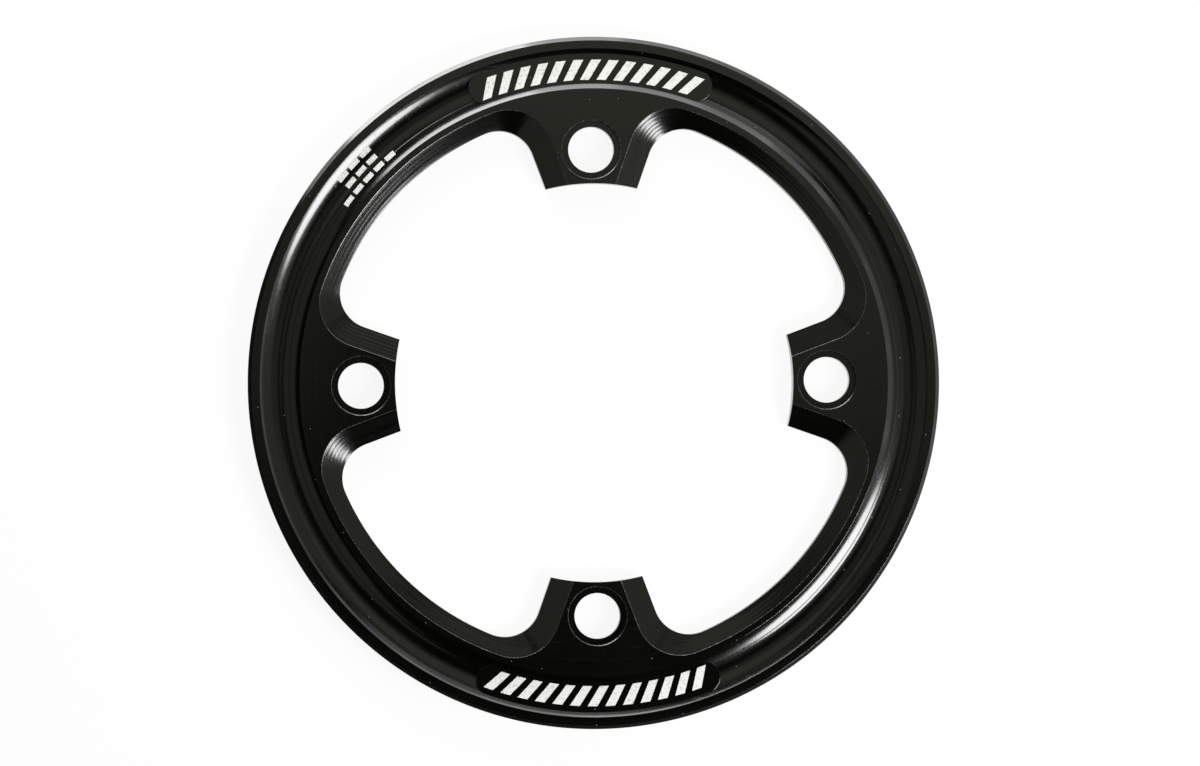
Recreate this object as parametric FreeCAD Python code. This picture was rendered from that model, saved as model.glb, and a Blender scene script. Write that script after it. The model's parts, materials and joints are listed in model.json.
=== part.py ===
import FreeCAD, Part
import math
import os

# A guard ring for a four-arm bicycle crank. It bolts to the crank in place of the outer chainring.
# It is one machined plate: a rim with a dished channel round its front face, four bolt tabs that
# reach inwards, and wide windows between the tabs whose edges slope down towards the opening.
# Lengths are in millimetres and angles in degrees. The origin is on the ring's axis, in the flat
# back face that seats on the crank, and +Z points out of the front face. One tab lies along +X.

# Plate
outer_diameter = 154.4
plate_thickness = 5.0
front_edge_chamfer = 0.85
back_edge_chamfer = 0.4

# Dished channel round the front face
channel_mid_radius = 70.1
channel_width = 8.9
channel_depth = 1.45

# Flat pads that stand in the channel, in line with two opposite tabs
pad_count = 2
pad_first_angle = 90.0
pad_span = 45.3
pad_drop = 0.65
pad_end_radius = 3.55

# Bolt tabs. A bolt's axis stands its edge distance back from the tab's end, which puts the bolts
# on the 104 mm circle that is usual for four arms.
bolt_count = 4
tab_end_radius = 44.45
tab_end_width = 20.4
tab_flare = 20.0
bolt_edge_distance = 7.55
bolt_sleeve_diameter = 10.0
bolt_sleeve_clearance = 0.2
bolt_seat_diameter = 13.0
bolt_seat_depth = 1.5

# Windows between the tabs: the straight wall at the back, and the slope down to it from the front
window_radius = 60.6
window_corner_radius = 8.0
slope_angle = 20.0
slope_run_at_rim = 3.6
slope_run_at_tab = 4.85
slope_corner_radius = 10.0

# Broken edges and the distance that a cutter runs past what it cuts
edge_break = 0.18
cutter_overrun = 2.0

outer_radius = outer_diameter / 2
bolt_hole_radius = (bolt_sleeve_diameter + bolt_sleeve_clearance) / 2
bolt_seat_radius = bolt_seat_diameter / 2
bolt_circle_radius = tab_end_radius + bolt_edge_distance
channel_floor_z = plate_thickness - channel_depth
pad_top_z = plate_thickness - pad_drop
slope_reach = slope_run_at_tab + cutter_overrun
tab_pitch = 360.0 / bolt_count
tab_half_width = tab_end_width / 2
axis = FreeCAD.Vector(0, 0, 1)
centre = FreeCAD.Vector(0, 0, 0)


def section_point(radius, height):
    return FreeCAD.Vector(radius, 0, height)


def plan_point(radius, angle, height=0.0):
    turn = math.radians(angle)
    return FreeCAD.Vector(radius * math.cos(turn), radius * math.sin(turn), height)


def revolved(points):
    outline = Part.makePolygon(points + points[:1])
    return Part.Face(outline).revolve(centre, axis, 360)


def solid_disc():
    return revolved([
        section_point(0, 0),
        section_point(outer_radius - back_edge_chamfer, 0),
        section_point(outer_radius, back_edge_chamfer),
        section_point(outer_radius, plate_thickness - front_edge_chamfer),
        section_point(outer_radius - front_edge_chamfer, plate_thickness),
        section_point(0, plate_thickness),
    ])


def channel_cutter():
    # The channel's section is one arc from foot to foot, so its radius follows width and depth.
    half_width = channel_width / 2
    inner_foot = section_point(channel_mid_radius - half_width, plate_thickness)
    lowest = section_point(channel_mid_radius, channel_floor_z)
    outer_foot = section_point(channel_mid_radius + half_width, plate_thickness)
    dish = Part.Arc(inner_foot, lowest, outer_foot).toShape()
    mouth = Part.LineSegment(outer_foot, inner_foot).toShape()
    return Part.Face(Part.Wire([dish, mouth])).revolve(centre, axis, 360)


def channel_pad(middle_angle):
    # An arc-shaped pad with round ends. Its sides run into the rising walls of the channel.
    end_angle = pad_span / 2 - math.degrees(math.asin(pad_end_radius / channel_mid_radius))
    first = middle_angle - end_angle
    last = middle_angle + end_angle
    inner = channel_mid_radius - pad_end_radius
    outer = channel_mid_radius + pad_end_radius
    tip_angle = pad_span / 2
    edges = [
        Part.Arc(plan_point(outer, first), plan_point(outer, middle_angle), plan_point(outer, last)),
        Part.Arc(plan_point(outer, last), plan_point(channel_mid_radius, middle_angle + tip_angle),
                 plan_point(inner, last)),
        Part.Arc(plan_point(inner, last), plan_point(inner, middle_angle), plan_point(inner, first)),
        Part.Arc(plan_point(inner, first), plan_point(channel_mid_radius, middle_angle - tip_angle),
                 plan_point(outer, first)),
    ]
    outline = Part.Wire([edge.toShape() for edge in edges])
    return Part.Face(outline).extrude(axis * pad_top_z)


def window_outline(run_at_tab, run_at_rim, corner_radius, height):
    # One window, with its middle on +X. The tab beside it lies half a pitch round.
    # Its side is a straight line that flares outwards, moved into the tab by run_at_tab.
    along_tab = plan_point(1, tab_pitch / 2)
    across_tab = plan_point(1, tab_pitch / 2 - 90)
    flare = math.radians(tab_flare)
    side = along_tab * math.cos(flare) + across_tab * math.sin(flare)
    facing = across_tab * math.cos(flare) - along_tab * math.sin(flare)
    end_reach = math.sqrt(tab_end_radius ** 2 - tab_half_width ** 2)
    tab_corner = along_tab * end_reach + across_tab * tab_half_width - facing * run_at_tab
    offset = tab_corner.dot(facing)

    # The corner arc touches the side line and the rim's arc.
    rim_radius = window_radius + run_at_rim
    reach = math.sqrt((rim_radius - corner_radius) ** 2 - (offset + corner_radius) ** 2)
    corner = facing * (offset + corner_radius) + side * reach
    outward = corner / corner.Length
    between = outward - facing

    run_in = tab_corner - side * cutter_overrun
    on_side = corner - facing * corner_radius
    on_corner = corner + between / between.Length * corner_radius
    on_rim = outward * rim_radius
    half = [run_in, on_side, on_corner, on_rim]
    lift = axis * height
    a, b, c, d = [point + lift for point in half]
    e, f, g, h = [FreeCAD.Vector(point.x, -point.y, point.z) for point in (d, c, b, a)]
    edges = [
        Part.LineSegment(a, b),
        Part.Arc(b, c, d),
        Part.Arc(d, plan_point(rim_radius, 0, height), e),
        Part.Arc(e, f, g),
        Part.LineSegment(g, h),
        Part.LineSegment(h, a),
    ]
    return Part.Wire([edge.toShape() for edge in edges])


def window_cutter():
    # The straight wall goes right through. From its crest the slope falls towards the opening at
    # one angle all round, so it ends lower where it is wider. Its crest is a narrow broken edge.
    through = window_outline(0, 0, window_corner_radius, -cutter_overrun)
    wall = Part.Face(through).extrude(axis * (plate_thickness + 2 * cutter_overrun))
    crest_z = plate_thickness - edge_break
    fall = slope_reach * math.tan(math.radians(slope_angle))
    low = window_outline(slope_run_at_tab - slope_reach, slope_run_at_rim - slope_reach,
                         slope_corner_radius - slope_reach, crest_z - fall)
    crest = window_outline(slope_run_at_tab, slope_run_at_rim, slope_corner_radius, crest_z)
    brim = window_outline(slope_run_at_tab + edge_break, slope_run_at_rim + edge_break,
                          slope_corner_radius + edge_break, plate_thickness)
    slope = Part.makeLoft([low, crest], True, True)
    broken_edge = Part.makeLoft([crest, brim], True, True)
    return wall.fuse([slope, broken_edge])


def bolt_cutter():
    # Clearance for the bolt's sleeve, and a round seat for its head in the front face.
    seat_z = plate_thickness - bolt_seat_depth
    return revolved([
        section_point(0, -cutter_overrun),
        section_point(bolt_hole_radius + edge_break + cutter_overrun, -cutter_overrun),
        section_point(bolt_hole_radius, edge_break),
        section_point(bolt_hole_radius, seat_z),
        section_point(bolt_seat_radius, seat_z),
        section_point(bolt_seat_radius, plate_thickness - edge_break),
        section_point(bolt_seat_radius + edge_break + cutter_overrun, plate_thickness + cutter_overrun),
        section_point(0, plate_thickness + cutter_overrun),
    ])


def patterned(shape, count, first_angle):
    copies = []
    for index in range(count):
        copy = shape.copy()
        copy.rotate(centre, axis, first_angle + index * 360.0 / count)
        copies.append(copy)
    return copies


def guard_ring():
    channel = channel_cutter().cut(patterned(channel_pad(0), pad_count, pad_first_angle))
    below = centre - axis * cutter_overrun
    bore = Part.makeCylinder(tab_end_radius, plate_thickness + 2 * cutter_overrun, below)
    bolt = bolt_cutter()
    bolt.translate(plan_point(bolt_circle_radius, 0))
    windows = patterned(window_cutter(), bolt_count, tab_pitch / 2)
    bolts = patterned(bolt, bolt_count, 0)
    ring = solid_disc().cut(channel)
    return ring.cut([bore] + windows + bolts)


os.makedirs("parts", exist_ok=True)
guard = guard_ring()
guard.exportStep("parts/guard_ring.step")
print("guard_ring", len(guard.Solids), "solid,", round(guard.Volume), "mm3")
print("bolt circle", round(2 * bolt_circle_radius, 3), "mm")
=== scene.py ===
# %% [markdown]
# A guard ring for a bicycle crank: one plate of aluminium, turned on a lathe, milled out between its four bolt
# tabs and anodised black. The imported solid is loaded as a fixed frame. Its size, its bolt circle and its box are
# read from there, so that whatever is modelled here stands where the solid stands.

# %% Load the frame
import bmesh
import bpy
import json
import math
from mathutils import Matrix, Vector


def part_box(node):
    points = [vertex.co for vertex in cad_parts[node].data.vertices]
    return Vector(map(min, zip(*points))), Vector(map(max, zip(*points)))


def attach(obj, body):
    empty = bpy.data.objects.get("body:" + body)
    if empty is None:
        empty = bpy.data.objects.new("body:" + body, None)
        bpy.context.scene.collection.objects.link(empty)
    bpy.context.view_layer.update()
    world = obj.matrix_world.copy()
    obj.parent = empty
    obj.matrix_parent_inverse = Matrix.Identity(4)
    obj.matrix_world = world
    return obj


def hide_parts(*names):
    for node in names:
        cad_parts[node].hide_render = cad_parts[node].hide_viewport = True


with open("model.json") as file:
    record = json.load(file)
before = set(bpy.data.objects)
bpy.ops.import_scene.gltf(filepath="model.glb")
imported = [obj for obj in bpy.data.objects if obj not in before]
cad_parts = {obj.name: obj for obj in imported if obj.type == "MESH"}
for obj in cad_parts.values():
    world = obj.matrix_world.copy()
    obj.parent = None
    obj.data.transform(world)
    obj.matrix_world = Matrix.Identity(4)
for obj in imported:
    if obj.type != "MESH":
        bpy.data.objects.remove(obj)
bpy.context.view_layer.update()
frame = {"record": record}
low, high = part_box("guard_ring")
bolts = next(mount for mount in frame["record"]["mounts"] if mount["name"] == "spider_bolts")
mm = 0.001
outer_radius = high.x
thickness = high.z - low.z
print("frame:", round(2 * outer_radius / mm, 2), "mm across,", round(thickness / mm, 2), "mm thick")

# %% [markdown]
# Four finishes meet on this one plate: the black of the turned faces, the coarser black of the milled windows, the
# bare metal that shows where the edges of windows and bolt seats are rubbed, and the white of the etched marks. Each
# cutter below carries the material of the surface that it leaves, and the boolean hands it on to the faces that it
# cuts. So the materials are named first and get their nodes later, once the shape is there to look at.

# %% Name the finishes


def new_finish(name):
    finish = bpy.data.materials.new(name)
    finish.use_nodes = True
    return finish


turned_black = new_finish("turned_black")
milled_black = new_finish("milled_black")
rubbed_edge = new_finish("rubbed_edge")
etched_white = new_finish("etched_white")
print("finishes:", [finish.name for finish in (turned_black, milled_black, rubbed_edge, etched_white)])

# %% [markdown]
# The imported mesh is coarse: six flat strips make the hollow of the channel, and a glossy black finish shows every
# one of them as a kink in its reflections. So the plate is modelled again, finer and in the same form, the way a
# machinist makes it. First comes the lathe: half of the section is drawn once, its corners get a tiny round,
# and a spin about the axis gives the whole blank.

# %% Helpers for outlines and turned shapes
origin = Vector((0, 0, 0))
ring_axis = Vector((0, 0, 1))
section_axis = Vector((0, 1, 0))
full_turn = 2 * math.pi
weld = 0.0001 * mm


def polar(radius, angle, height=0.0):
    return Vector((radius * math.cos(angle), radius * math.sin(angle), height))


def verts_of(geometry):
    return [item for item in geometry if isinstance(item, bmesh.types.BMVert)]


def swept(bm, vert, centre, axis, angle, steps):
    """Draws an arc of edges from a vertex and gives back the vertex at its end."""
    made = bmesh.ops.spin(bm, geom=[vert], cent=centre, axis=axis, angle=angle, steps=steps)
    return verts_of(made["geom_last"])[0]


def chained(bm, verts):
    return [bm.edges.new(pair) for pair in zip(verts, verts[1:])]


def turned(bm, centre, steps):
    """Spins what the bmesh holds once round an upright axis and closes the seam."""
    bmesh.ops.spin(bm, geom=bm.verts[:] + bm.edges[:], cent=centre, axis=ring_axis,
                   angle=full_turn, steps=steps, use_merge=True)
    bmesh.ops.remove_doubles(bm, verts=bm.verts[:], dist=weld)
    bmesh.ops.recalc_face_normals(bm, faces=bm.faces[:])


def as_object(bm, name, *finishes):
    mesh = bpy.data.meshes.new(name)
    bm.to_mesh(mesh)
    bm.free()
    for finish in finishes:
        mesh.materials.append(finish)
    made = bpy.data.objects.new(name, mesh)
    bpy.context.scene.collection.objects.link(made)
    print(name, "has", len(mesh.polygons), "faces")
    return made


# %% Turn the blank
front_chamfer = 0.85 * mm
front_chamfer_drop = 0.78 * mm
back_chamfer = 0.4 * mm
edge_round = 0.04 * mm
bore_radius = 44.45 * mm
channel_radius = 70.1 * mm
channel_half_width = 4.45 * mm
channel_depth = 1.45 * mm
dish_radius = (channel_half_width ** 2 + channel_depth ** 2) / (2 * channel_depth)
dish_centre = Vector((channel_radius, 0, thickness - channel_depth + dish_radius))
dish_half_angle = math.asin(channel_half_width / dish_radius)
dish_steps = 32
rim_steps = 360


def turned_blank():
    bm = bmesh.new()

    def corner(radius, height):
        return bm.verts.new((radius, 0, height))

    inner_foot = corner(channel_radius - channel_half_width, thickness)
    outer_foot = swept(bm, inner_foot, dish_centre, section_axis, -2 * dish_half_angle, dish_steps)
    corners = [
        outer_foot,
        corner(outer_radius - front_chamfer, thickness),
        corner(outer_radius, thickness - front_chamfer_drop),
        corner(outer_radius, back_chamfer),
        corner(outer_radius - back_chamfer, 0),
        corner(bore_radius, 0),
        corner(bore_radius, thickness),
        inner_foot,
    ]
    chained(bm, corners)
    bmesh.ops.contextual_create(bm, geom=bm.edges[:])
    bmesh.ops.bevel(bm, geom=corners, offset=edge_round, segments=3, profile=0.5,
                    affect="VERTICES", material=-1)
    bmesh.ops.delete(bm, geom=bm.faces[:], context="FACES_ONLY")
    turned(bm, origin, rim_steps)
    return as_object(bm, "guard_plate", turned_black)


plate = turned_blank()

# %% [markdown]
# Two flat pads stand in the channel, opposite each other. On the real plate they are what the lathe tool left and
# a mill then levelled. Here each one is an outline of four arcs, pulled up from inside the plate to just below the
# front face. Its top edge is broken a little, which draws the thin bright line round the pad's ends. A boolean union
# lets its long sides run into the rising walls of the channel.

# %% Raise the pads
pad_half_width = 3.55 * mm
pad_span = math.radians(45.3)
pad_top = thickness - 0.65 * mm
pad_root = 1.0 * mm
pad_edge = 0.07 * mm
pad_steps = 72
quarter = full_turn / 4


def set_round(bm, count, first_angle):
    """Turns what the bmesh holds to its first place and copies it evenly round the ring's axis."""
    bmesh.ops.rotate(bm, verts=bm.verts[:], cent=origin, matrix=Matrix.Rotation(first_angle, 3, "Z"))
    first = bm.verts[:] + bm.edges[:] + bm.faces[:]
    for index in range(1, count):
        copy = bmesh.ops.duplicate(bm, geom=first)["geom"]
        turn = Matrix.Rotation(index * full_turn / count, 3, "Z")
        bmesh.ops.rotate(bm, verts=verts_of(copy), cent=origin, matrix=turn)


def raised(bm, height):
    """Pulls a flat outline straight up into a closed solid and gives back the vertices on top."""
    top = bmesh.ops.extrude_face_region(bm, geom=bm.faces[:])["geom"]
    bmesh.ops.translate(bm, verts=verts_of(top), vec=ring_axis * height)
    bmesh.ops.recalc_face_normals(bm, faces=bm.faces[:])
    return verts_of(top)


def channel_pads():
    bm = bmesh.new()
    reach = pad_span / 2 - math.asin(pad_half_width / channel_radius)
    start = bm.verts.new(polar(channel_radius - pad_half_width, -reach, pad_root))
    end = swept(bm, start, polar(channel_radius, -reach), ring_axis, math.pi, pad_steps)
    end = swept(bm, end, origin, ring_axis, 2 * reach, pad_steps)
    end = swept(bm, end, polar(channel_radius, reach), ring_axis, math.pi, pad_steps)
    swept(bm, end, origin, ring_axis, -2 * reach, pad_steps)
    bmesh.ops.remove_doubles(bm, verts=bm.verts[:], dist=weld)
    bmesh.ops.contextual_create(bm, geom=bm.edges[:])
    top = set(raised(bm, pad_top - pad_root))
    rim = [edge for edge in bm.edges if top.issuperset(edge.verts)]
    bmesh.ops.bevel(bm, geom=rim, offset=pad_edge, segments=2, profile=0.5,
                    affect="EDGES", material=-1)
    set_round(bm, 2, quarter)
    return as_object(bm, "pads", turned_black)


pads = channel_pads()

# %% [markdown]
# Between the tabs the plate is milled away. A straight wall goes right through. Above it the metal slopes down to the
# opening at one angle all round, as a tapered cutter leaves it, and because the opening isn't an even inset of the
# slope's crest, the slope is wider beside the tabs and widest in the corners. One outline function draws the window
# with any inset. Outlines set one above the other are bridged into two cutters, one for the wall and one for the
# slope. The top step of the slope's cutter is a narrow broken edge, which is where the black is rubbed off.

# %% Shape the window cutters
overrun = 3.0 * mm
tab_end_width = 20.4 * mm
tab_flare = math.radians(20)
window_radius = 60.6 * mm
window_corner = 8.0 * mm
slope_angle = math.radians(20)
slope_run_at_rim = 3.6 * mm
slope_run_at_tab = 4.85 * mm
slope_corner = 10.0 * mm
slope_reach = 6.85 * mm
crest_band = 0.12 * mm
crest_drop = 0.07 * mm
corner_steps = 48
arc_steps = 60


def window_outline(bm, run_at_tab, run_at_rim, corner_radius, height):
    """A window's closed outline, with its middle on +X and the tabs beside it an eighth of a turn away."""
    along = polar(1, quarter / 2)
    across = polar(1, -quarter / 2)
    side = along * math.cos(tab_flare) + across * math.sin(tab_flare)
    facing = across * math.cos(tab_flare) - along * math.sin(tab_flare)
    half_width = tab_end_width / 2
    tab_end = math.sqrt(bore_radius ** 2 - half_width ** 2)
    tab_corner = along * tab_end + across * half_width - facing * run_at_tab
    offset = tab_corner.dot(facing) + corner_radius
    rim_radius = window_radius + run_at_rim
    reach = math.sqrt((rim_radius - corner_radius) ** 2 - offset ** 2)
    centre = facing * offset + side * reach
    far_centre = Vector((centre.x, -centre.y, 0))
    turn = facing.angle(-centre)
    rim_angle = math.atan2(centre.y, centre.x)

    before = set(bm.edges)
    start = bm.verts.new(tab_corner - side * overrun + ring_axis * height)
    on_side = bm.verts.new(centre - facing * corner_radius + ring_axis * height)
    on_rim = swept(bm, on_side, centre, ring_axis, -turn, corner_steps)
    off_rim = swept(bm, on_rim, origin, ring_axis, -2 * rim_angle, arc_steps)
    off_side = swept(bm, off_rim, far_centre, ring_axis, -turn, corner_steps)
    end = bm.verts.new((start.co.x, -start.co.y, height))
    chained(bm, [off_side, end, start, on_side])
    return [edge for edge in bm.edges if edge not in before]


def window_cutter(name, levels, finishes, rubbed_step=None):
    """Bridges outlines, given from the lowest to the highest, into a closed cutter for all four windows."""
    bm = bmesh.new()
    outlines = [window_outline(bm, *inset, height) for inset, height in levels]
    for step, pair in enumerate(zip(outlines, outlines[1:])):
        sides = bmesh.ops.bridge_loops(bm, edges=pair[0] + pair[1])["faces"]
        for face in sides:
            face.material_index = 1 if step == rubbed_step else 0
    bmesh.ops.edgeloop_fill(bm, edges=outlines[0])
    bmesh.ops.edgeloop_fill(bm, edges=outlines[-1])
    bmesh.ops.recalc_face_normals(bm, faces=bm.faces[:])
    set_round(bm, 4, quarter / 2)
    return as_object(bm, name, *finishes)


opening = (0, 0, window_corner)
wall_levels = [(opening, -overrun), (opening, thickness + overrun)]
walls = window_cutter("walls", wall_levels, [milled_black])

crest = (slope_run_at_tab, slope_run_at_rim, slope_corner)
crest_height = thickness - crest_drop
inset = tuple(size - slope_reach for size in crest)
brim = tuple(size + crest_band for size in crest)
slope_levels = [
    (inset, crest_height - slope_reach * math.tan(slope_angle)),
    (crest, crest_height),
    (brim, thickness),
    (brim, thickness + overrun),
]
slopes = window_cutter("slopes", slope_levels, [milled_black, rubbed_edge], rubbed_step=1)

# %% [markdown]
# Each tab is drilled for the sleeve of a chainring bolt and counterbored for its head, and both edges are broken.
# The drill and the counterbore are one turned cutter, like the stepped tool that would be used. Its upper cone, which
# breaks the seat's edge, carries the rubbed finish.

# %% Shape the bolt cutter
bolt_circle = bolts["dims"]["pcd_mm"] / 2 * mm
hole_radius = bolts["dims"]["hole_r_mm"] * mm
seat_radius = 6.5 * mm
seat_depth = 1.5 * mm
edge_break = 0.18 * mm
bolt_steps = 144


def bolt_cutter():
    bm = bmesh.new()
    seat = thickness - seat_depth
    steps = [
        (0, -overrun),
        (hole_radius + edge_break + overrun, -overrun),
        (hole_radius, edge_break),
        (hole_radius, seat),
        (seat_radius, seat),
        (seat_radius, thickness - edge_break),
        (seat_radius + edge_break + overrun, thickness + overrun),
        (0, thickness + overrun),
    ]
    chained(bm, [bm.verts.new((bolt_circle + radius, 0, height)) for radius, height in steps])
    turned(bm, polar(bolt_circle, 0), bolt_steps)
    for face in bm.faces:
        lowest = min(vert.co.z for vert in face.verts)
        face.material_index = 1 if seat + edge_break < lowest < thickness else 0
    set_round(bm, 4, 0)
    return as_object(bm, "bolts", turned_black, rubbed_edge)


drill = bolt_cutter()

# %% [markdown]
# A laser leaves pale marks on black anodising. Here they are plain: a row of slanted bars on each pad, and three rows
# of dashes on the floor of the channel. Paint in a texture would do for a still picture, but a cut a hundredth of a
# millimetre deep keeps its edge sharp at any distance. A bar is a flat outline pulled up out of the pad's top. A dash
# follows the hollow of the channel, so its section is a thin strip along the dish that is spun a little way round.

# %% Shape the marks
mark_depth = 0.015 * mm
bar_count = 13
bar_pitch = math.radians(3.14)
bar_width = math.radians(1.75)
bar_slant = math.radians(1.1)
bar_inner = 67.6 * mm
bar_outer = 72.1 * mm
bar_rise = 0.5 * mm
dash_rows = [  # radius, length and number of dashes
    (72.4 * mm, 10.1 * mm, 3),
    (70.2 * mm, 9.6 * mm, 3),
    (68.0 * mm, 16.1 * mm, 5),
]
dash_height = 1.15 * mm
dash_gap = 0.8 * mm
dash_rise = 0.2 * mm
dash_steps = 6
dash_middle = math.radians(137)


def pad_bars():
    bm = bmesh.new()
    base = pad_top - mark_depth
    for index in range(bar_count):
        left = (index - (bar_count - 1) / 2) * bar_pitch - bar_width / 2
        right = left + bar_width
        corners = [
            polar(bar_inner, left + bar_slant, base),
            polar(bar_inner, right + bar_slant, base),
            polar(bar_outer, right - bar_slant, base),
            polar(bar_outer, left - bar_slant, base),
        ]
        bmesh.ops.contextual_create(bm, geom=[bm.verts.new(place) for place in corners])
    raised(bm, bar_rise)
    set_round(bm, 2, quarter)
    return as_object(bm, "pad_bars", etched_white)


def dash_strip(bm, row_radius, first_angle, last_angle):
    """A strip just under the dish's surface, spun from one angle to the other about the ring's axis."""
    bottom = dish_radius + mark_depth
    top = dish_radius - dash_rise
    lean = math.asin((row_radius - channel_radius) / dish_radius)
    half = dash_height / 2 / dish_radius
    towards = Vector((math.sin(lean - half), 0, -math.cos(lean - half)))
    lower = bm.verts.new(dish_centre + towards * bottom)
    upper = bm.verts.new(dish_centre + towards * top)
    before = set(bm.edges)
    lower_end = swept(bm, lower, dish_centre, section_axis, -2 * half, dash_steps)
    upper_end = swept(bm, upper, dish_centre, section_axis, -2 * half, dash_steps)
    chained(bm, [lower, upper])
    chained(bm, [lower_end, upper_end])
    outline = [edge for edge in bm.edges if edge not in before]
    face = bmesh.ops.contextual_create(bm, geom=outline)["faces"]
    section = {vert for edge in outline for vert in edge.verts}
    turn = Matrix.Rotation(first_angle, 3, "Z")
    bmesh.ops.rotate(bm, verts=list(section), cent=origin, matrix=turn)
    bmesh.ops.spin(bm, geom=face, cent=origin, axis=ring_axis,
                   angle=last_angle - first_angle, steps=dash_steps)


def channel_dashes():
    bm = bmesh.new()
    for radius, length, count in dash_rows:
        pitch = (length + dash_gap) / count / radius
        for index in range(count):
            first = dash_middle - length / radius / 2 + index * pitch
            dash_strip(bm, radius, first, first + pitch - dash_gap / radius)
    bmesh.ops.recalc_face_normals(bm, faces=bm.faces[:])
    return as_object(bm, "channel_dashes", etched_white)


bars = pad_bars()
dashes = channel_dashes()

# %% [markdown]
# Now the cutters meet the blank. Boolean modifiers do the work in the order of the workshop: the pads are joined, the
# windows milled, the tabs drilled and the marks etched. The result is kept as a plain mesh, the cutters go, and edges
# that turn by more than a few degrees stay sharp while the turned curves are shaded smooth.

# %% Cut the plate
smooth_below = math.radians(3)


def cut_plate(tools):
    for tool, operation in tools:
        cut = plate.modifiers.new(tool.name, "BOOLEAN")
        cut.object = tool
        cut.operation = operation
        cut.solver = "EXACT"
        cut.material_mode = "TRANSFER"
    seen = plate.evaluated_get(bpy.context.evaluated_depsgraph_get())
    plate.data = bpy.data.meshes.new_from_object(seen)
    plate.modifiers.clear()
    for tool, _ in tools:
        bpy.data.objects.remove(tool)
    plate.data.shade_smooth()
    plate.data.set_sharp_from_angle(angle=smooth_below)


cut_plate([
    (pads, "UNION"),
    (walls, "DIFFERENCE"),
    (slopes, "DIFFERENCE"),
    (drill, "DIFFERENCE"),
    (bars, "DIFFERENCE"),
    (dashes, "DIFFERENCE"),
])
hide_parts("guard_ring")
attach(plate, "root")

solid = bmesh.new()
solid.from_mesh(plate.data)
print("plate:", len(solid.faces), "faces,", round(solid.calc_volume() / mm ** 3), "mm3,",
      sum(not edge.is_manifold for edge in solid.edges), "open edges,",
      [finish.name for finish in plate.data.materials])
solid.free()

# %% [markdown]
# A material is a graph of nodes, and graphs are tedious to write line by line. This small class holds one output
# socket. Adding or multiplying two of them adds the Math node that does it, and one method adds any other node, so
# that a finish reads like a sum.

# %% Wire up materials with plain sums


class Wire:
    """An output socket in a material's tree. Sums and products of wires add the Math nodes they need."""

    def __init__(self, tree, socket=None):
        self.tree = tree
        self.socket = socket

    def node(self, kind, settings=None, inputs=None, output=0):
        """Adds any node: its settings first, then the values or wires of its input sockets."""
        made = self.tree.nodes.new(kind)
        for name, value in (settings or {}).items():
            setattr(made, name, value)
        for name, value in (inputs or {}).items():
            if isinstance(value, Wire):
                self.tree.links.new(value.socket, made.inputs[name])
            else:
                made.inputs[name].default_value = value
        return Wire(self.tree, made.outputs[output])

    def math(self, operation, first, second=0.0, third=0.0):
        return self.node("ShaderNodeMath", {"operation": operation}, {0: first, 1: second, 2: third})

    def __add__(self, other):
        return self.math("ADD", self, other)

    def __sub__(self, other):
        return self.math("SUBTRACT", self, other)

    def __mul__(self, other):
        return self.math("MULTIPLY", self, other)

    def __rsub__(self, other):
        return self.math("SUBTRACT", other, self)

    __radd__ = __add__
    __rmul__ = __mul__


# %% Helpers that the finishes share


def opened(finish):
    """The finish's shader, and an empty wire to start its nodes from."""
    return finish.node_tree.nodes["Principled BSDF"], Wire(finish.node_tree)


def fed(shader, name, wire):
    wire.tree.links.new(wire.socket, shader.inputs[name])


def place_in_mm(start):
    place = start.node("ShaderNodeTexCoord", output="Object")
    return start.node("ShaderNodeVectorMath", {"operation": "SCALE"}, {0: place, "Scale": 1 / mm})


def parts_of(vector):
    split = vector.node("ShaderNodeSeparateXYZ", {}, {0: vector}).socket.node
    return [Wire(vector.tree, socket) for socket in split.outputs]


def stretched(vector, factors, turn=0.0):
    return vector.node("ShaderNodeMapping", {},
                       {"Vector": vector, "Rotation": (0, 0, turn), "Scale": factors})


def cloudy(vector, per_mm, detail=2.0):
    return vector.node("ShaderNodeTexNoise", {}, {"Vector": vector, "Scale": per_mm, "Detail": detail})


def striped(value, per_mm, detail=2.0):
    """Noise along one number only: rings if it is a radius, layers if it is a height."""
    return value.node("ShaderNodeTexNoise", {"noise_dimensions": "1D"},
                      {"W": value, "Scale": per_mm, "Detail": detail})


def above(value, start, full):
    """A soft step: 0 up to start, 1 from full."""
    return value.node("ShaderNodeMapRange", {}, {"Value": value, "From Min": start, "From Max": full})


mix_first, mix_second, mix_result = 6, 7, 2


def blended(mask, first, second):
    """The first colour where the mask is 0, the second where it is 1."""
    return mask.node("ShaderNodeMix", {"data_type": "RGBA"},
                     {0: mask, mix_first: first, mix_second: second}, output=mix_result)


def bumped(shader, height, depth):
    bump = height.node("ShaderNodeBump", {}, {"Height": height, "Distance": depth})
    fed(shader, "Normal", bump)


# %% [markdown]
# Black anodising is a clear hard skin over dyed aluminium: almost no colour of its own, and a gloss that shows the
# lamps. What makes it metal rather than plastic is the tooling under the skin. The lathe leaves rings of uneven
# height and polish, so noise that depends only on the distance from the axis drives bump and roughness. On the
# channel's inner wall one fine line shows where the tool was set again: a groove wherever the surface comes near one
# circle in space, within a narrow band that is cut a little steeper and fades out towards the pads. Handling adds
# smears, a few fine scratches and dust. Noise and masks are written in millimetres.

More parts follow.
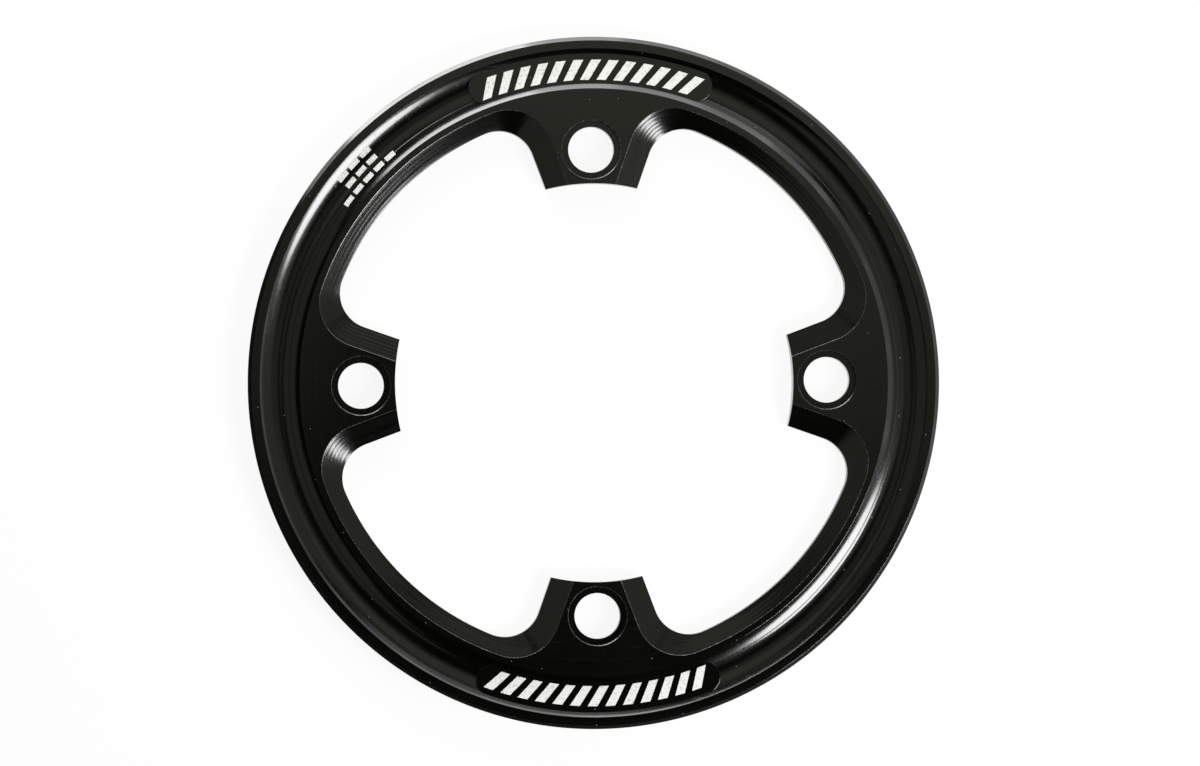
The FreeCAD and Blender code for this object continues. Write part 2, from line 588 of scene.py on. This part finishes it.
# %% Finish of the turned faces
deep_black = (0.0005, 0.0005, 0.0003, 1)
worn_black = (0.0011, 0.0011, 0.0008, 1)
dust_grey = (0.20, 0.19, 0.17, 1)
skin_ior = 1.6
ring_bump = 0.004 * mm
tool_line_radius = 68.05 * mm
tool_line_lean = math.asin((tool_line_radius - channel_radius) / dish_radius)
tool_line_height = dish_centre.z - dish_radius * math.cos(tool_line_lean)
tool_line_from_middle = (0.03, 0.12)
steeper_from_line = (-0.3, 0.55)
pads_end_at_x = (28.0, 40.0)
back_ends_at_z = (0.05, 3.2)


def specks(place, per_mm, radius, share):
    """Dots of a given radius in some of the cells of a loose grid."""
    cells = place.node("ShaderNodeTexVoronoi", {"voronoi_dimensions": "2D"},
                       {"Vector": place, "Scale": per_mm})
    chance = parts_of(Wire(place.tree, cells.socket.node.outputs["Color"]))[0]
    chosen = above(chance, 1 - share, 1.01 - share)
    return chosen * (1 - above(cells, radius * per_mm * 0.6, radius * per_mm))


def finish_turned():
    shader, start = opened(turned_black)
    place = place_in_mm(start)
    x, y, z = parts_of(place)
    radius = start.math("SQRT", x * x + y * y)
    rings = striped(radius, 1.3, 3.0)
    fine_rings = striped(radius, 6.0, 1.0)
    beside = radius - tool_line_radius / mm
    over = z - tool_line_height / mm
    away = start.math("SQRT", beside * beside + over * over)
    tool_line = 1 - above(away, *tool_line_from_middle)
    off_pads = above(start.math("ABSOLUTE", x), *pads_end_at_x) * above(z, *back_ends_at_z)
    steeper = above(beside, *steeper_from_line) * off_pads
    skin = cloudy(place, 2.4)
    smear = cloudy(place, 0.06, 3.0)
    scratch = above(cloudy(stretched(place, (0.10, 4.5, 1), 0.6), 1.0, 1.0), 0.71, 0.76)
    scratch = scratch + above(cloudy(stretched(place, (4.0, 0.13, 1), 0.35), 1.0, 1.0), 0.72, 0.77)
    dust = specks(place, 0.16, 0.11, 0.18)
    black = blended(above(smear, 0.35, 0.7), deep_black, worn_black)
    fed(shader, "Base Color", blended(dust, black, dust_grey))
    polish = 0.09 + rings * 0.07 + smear * 0.05 + skin * 0.02 + scratch * 0.1 + dust * 0.3
    fed(shader, "Roughness", polish)
    height = rings * 0.8 + fine_rings * 0.15 + skin * 0.25 - scratch * 0.4 + dust * 4.0
    bumped(shader, height - tool_line * 4.5 - steeper * 11.5, ring_bump)
    shader.inputs["IOR"].default_value = skin_ior
    print("turned_black:", len(turned_black.node_tree.nodes), "nodes")


finish_turned()

# %% [markdown]
# The windows are milled, and the cutter's passes run along the edge. On the slope every line at one height runs
# parallel to the crest, so noise that changes fast with height and slowly along the plate gives streaks that follow
# the edge round its corners, without any map of the surface. Each pass also leaves a low wave, and along the rim the
# slope eases a little towards its foot.

# %% Finish of the milled windows
pass_height = 0.29
crest_mm = crest_height / mm
streak_bump = 0.008 * mm
rim_starts_at = (59.5, 61.5)


def finish_milled():
    shader, start = opened(milled_black)
    place = place_in_mm(start)
    x, y, z = parts_of(place)
    streaks = cloudy(stretched(place, (0.05, 0.05, 4.2)), 1.0, 3.0)
    wander = cloudy(place, 0.12) * 2.0
    passes = start.math("SINE", (crest_mm - z) * (full_turn / pass_height) + wander)
    mottle = cloudy(place, 1.3, 3.0)
    smear = cloudy(place, 0.07, 3.0)
    fed(shader, "Base Color", blended(above(mottle + streaks, 0.8, 1.25), deep_black, worn_black))
    fed(shader, "Roughness", 0.08 + streaks * 0.09 + mottle * 0.03 + smear * 0.03)
    below = start.math("MAXIMUM", crest_mm - z, 0.0)
    radius = start.math("SQRT", x * x + y * y)
    hollow = below * (4.6 + below * 3.0) * above(radius, *rim_starts_at)
    bumped(shader, streaks * 1.8 + passes * 0.27 + mottle * 0.06 + hollow, streak_bump)
    shader.inputs["IOR"].default_value = skin_ior
    print("milled_black:", len(milled_black.node_tree.nodes), "nodes")


finish_milled()

# %% [markdown]
# The crest of each slope and the edge of each bolt seat are where a hand, a chain or another part rubs. There the skin
# is thin and bare aluminium shows in a broken line: continuous where it was rubbed most, dotted with nicks elsewhere.
# Noise decides how bare each spot is, and that one number moves colour, metal and roughness together.

# %% Finish of the rubbed edges
bare_metal = (0.42, 0.42, 0.41, 1)
nick_bump = 0.006 * mm


def finish_rubbed():
    shader, start = opened(rubbed_edge)
    place = place_in_mm(start)
    long_rub = above(cloudy(place, 0.09, 2.0), 0.38, 0.66)
    nicks = above(cloudy(place, 1.6, 4.0), 0.50, 0.60)
    dots = above(cloudy(place, 5.0, 1.0), 0.62, 0.68)
    bare = start.math("MINIMUM", 0.02 + long_rub * (0.05 + nicks * 0.3) + dots * 0.2, 1.0)
    fed(shader, "Base Color", blended(bare, worn_black, bare_metal))
    fed(shader, "Metallic", bare)
    fed(shader, "Roughness", 0.22 + bare * 0.2)
    bumped(shader, nicks + dots, nick_bump)
    shader.inputs["IOR"].default_value = skin_ior
    print("rubbed_edge:", len(rubbed_edge.node_tree.nodes), "nodes")


finish_rubbed()

# %% [markdown]
# A laser mark is a crust of tiny craters, matt and not quite even. Fine noise mixes two near whites, and the same
# noise roughens the surface.

# %% Finish of the etched marks
chalk = (0.80, 0.80, 0.78, 1)
thin_chalk = (0.46, 0.46, 0.44, 1)
grain_bump = 0.01 * mm


def finish_etched():
    shader, start = opened(etched_white)
    place = place_in_mm(start)
    grains = cloudy(place, 4.4, 3.0)
    gaps = above(cloudy(place, 1.7, 3.0), 0.57, 0.66)
    cover = above(grains, 0.30, 0.56) * (1 - gaps * 0.8)
    fed(shader, "Base Color", blended(cover, thin_chalk, chalk))
    fed(shader, "Roughness", 0.5 + grains * 0.2)
    bumped(shader, grains, grain_bump)
    print("etched_white:", len(etched_white.node_tree.nodes), "nodes")


finish_etched()

# %% [markdown]
# The ring lies on a white table. Lamps strong enough to burn the table white would wash the ring out, so most of the
# table's white is a glow that only the camera and mirror-like rays see, and the rest is paint that takes a soft shadow.

# %% Lay the white table
white = (1.0, 1.0, 1.0, 1.0)
table_half_size = 3.0
table_drop = 0.02 * mm
table_glow = 0.91
table_paint = (0.085, 0.085, 0.085, 1)


def table_finish():
    finish = new_finish("white_table")
    tree = finish.node_tree
    tree.nodes.remove(tree.nodes["Principled BSDF"])
    start = Wire(tree)
    camera_ray = start.node("ShaderNodeLightPath", output="Is Camera Ray")
    path = camera_ray.socket.node
    glossy_ray = Wire(tree, path.outputs["Is Glossy Ray"])
    through_ray = Wire(tree, path.outputs["Is Transmission Ray"])
    seen = start.math("MINIMUM", camera_ray + glossy_ray + through_ray, 1.0)
    glow = start.node("ShaderNodeEmission", {}, {"Color": white, "Strength": seen * table_glow})
    paint = start.node("ShaderNodeBsdfDiffuse", {}, {"Color": table_paint})
    both = start.node("ShaderNodeAddShader", {}, {0: paint, 1: glow})
    tree.links.new(both.socket, tree.nodes["Material Output"].inputs["Surface"])
    return finish


def white_table():
    bm = bmesh.new()
    bmesh.ops.create_grid(bm, x_segments=1, y_segments=1, size=table_half_size)
    bmesh.ops.translate(bm, verts=bm.verts[:], vec=ring_axis * -table_drop)
    table = as_object(bm, "white_table", table_finish())


white_table()

# %% [markdown]
# On a black gloss the lamps are the picture: each bright band on the ring is one lamp seen in a curved wall. A soft box
# stands at the lower right, and a tall panel with a low strip beside it behind the top left edge. The panel's light
# fades along the wall to the right. Dim cards overhead and at both sides give the flat faces and the slopes their grey.
# Lamps are placed by compass bearing and by angle from straight up, as seen from the middle of the ring, and their
# strength is given as brightness, so that size and brightness are separate.

# %% Set the lamps
neutral = (1.0, 1.0, 1.0)
warm = (0.97, 0.99, 0.79)
warmer = (0.97, 0.95, 0.75)
wall_fade = (  # bearing and brightness of each stretch of the wall
    (359, 6.0), (15, 3.6), (31, 2.3), (46, 1.3), (60, 0.6), (76, 0.8), (92, 0.8), (107, 0.8),
)


def compass(azimuth, zenith, distance):
    """A place seen from the ring's middle: degrees clockwise from +Y, degrees from straight up, and metres."""
    turn = math.radians(azimuth)
    tilt = math.radians(zenith)
    level = math.sin(tilt)
    return Vector((level * math.sin(turn), level * math.cos(turn), math.cos(tilt))) * distance


def soft_panel(name, azimuth, zenith, distance, width, height, brightness, colour,
               standing=False, shape="RECTANGLE"):
    """A panel of light that faces the ring's middle or, if it is standing, the ring's axis at its own height."""
    light = bpy.data.lights.new(name, "AREA")
    light.shape = shape
    light.size = width
    light.size_y = height
    area = width * height * (math.pi / 4 if shape == "ELLIPSE" else 1)
    light.energy = brightness * math.pi * area
    light.color = colour
    lamp = bpy.data.objects.new(name, light)
    place = compass(azimuth, zenith, distance)
    aim = ring_axis * place.z if standing else origin
    turn = (place - aim).to_track_quat("Z", "Y")
    lamp.matrix_world = Matrix.Translation(place) @ turn.to_matrix().to_4x4()
    lamp.visible_camera = False
    bpy.context.scene.collection.objects.link(lamp)
    print(name, round(light.energy, 2), "W")


soft_panel("key_box", 127.5, 50.5, 0.5, 0.25, 0.25, 18.0, neutral, shape="ELLIPSE")
soft_panel("top_panel", 335, 75.5, 0.46, 0.27, 0.23, 12.0, neutral, standing=True)
soft_panel("edge_strip", 316, 84.5, 0.46, 0.16, 0.05, 3.0, neutral, standing=True)
for azimuth, brightness in wall_fade:
    soft_panel("wall_%d" % azimuth, azimuth, 73, 0.46, 0.13, 0.26, brightness, neutral, standing=True)
soft_panel("ceiling_card", 8, 18.5, 0.55, 0.34, 0.23, 0.43, warm)
soft_panel("ceiling_back", 8, 36.5, 0.55, 0.6, 0.13, 0.21, warm)
soft_panel("upper_wall", 22, 50, 0.52, 0.36, 0.12, 1.0, neutral)
soft_panel("left_ceiling", 289, 10.6, 0.5, 0.08, 0.075, 0.22, warm)
soft_panel("left_card", 266, 38, 0.5, 0.64, 0.34, 0.25, warmer)
soft_panel("right_card", 80, 9.8, 0.5, 0.09, 0.17, 0.2, warm)
soft_panel("right_wall", 81, 39.5, 0.5, 0.31, 0.34, 0.31, warm)

# %% [markdown]
# The rest of the room is nearly dark. A little even light keeps the shaded sides from going to nothing. The view is
# left at the plain transform, so a colour shows as it is written.

# %% Dim the room
room_colour = (1, 0.97, 0.9, 1)
room_light = 0.01
room = bpy.data.worlds.new("dim_room")
bpy.context.scene.world = room
room.use_nodes = True
background = room.node_tree.nodes["Background"]
background.inputs["Color"].default_value = room_colour
background.inputs["Strength"].default_value = room_light
bpy.context.scene.view_settings.view_transform = "Standard"
print("room light", room_light)

# %% [markdown]
# The photograph looks almost straight down, a little from the left. The camera stands far off with a long lens, so the
# ring hardly narrows with distance. Its place follows from four measured values: the scale, the pixel at the ring's
# middle, the lean and the roll.

# %% Place the camera
image_width = 1200
image_height = 766
ring_middle_pixel = (594.3, 382.75)
bolt_circle_pixels = 466.4
pixels_per_mm = bolt_circle_pixels / bolts["dims"]["pcd_mm"]
view_lean = (math.radians(-3.3), math.radians(-0.6))
view_distance = 1.6
view_roll = math.radians(0.78)
look_height = 4.0 * mm
view_end = 20.0


def photo_camera():
    lens = bpy.data.cameras.new("photo_camera")
    camera = bpy.data.objects.new("photo_camera", lens)
    bpy.context.scene.collection.objects.link(camera)
    back = Vector((math.tan(view_lean[0]), math.tan(view_lean[1]), 1)).normalized()
    up_hint = Vector((math.sin(view_roll), math.cos(view_roll), 0))
    right = up_hint.cross(back).normalized()
    up = back.cross(right)
    pixel = mm / pixels_per_mm
    target = ring_axis * look_height
    target += right * (image_width / 2 - ring_middle_pixel[0]) * pixel
    target += up * (ring_middle_pixel[1] - image_height / 2) * pixel
    axes = Matrix((right, up, back)).transposed().to_4x4()
    camera.matrix_world = Matrix.Translation(target + back * view_distance) @ axes
    lens.lens = lens.sensor_width * view_distance / (image_width * pixel)
    lens.clip_end = view_end
    bpy.context.scene.camera = camera
    print("camera lens", round(lens.lens, 1), "mm")


photo_camera()
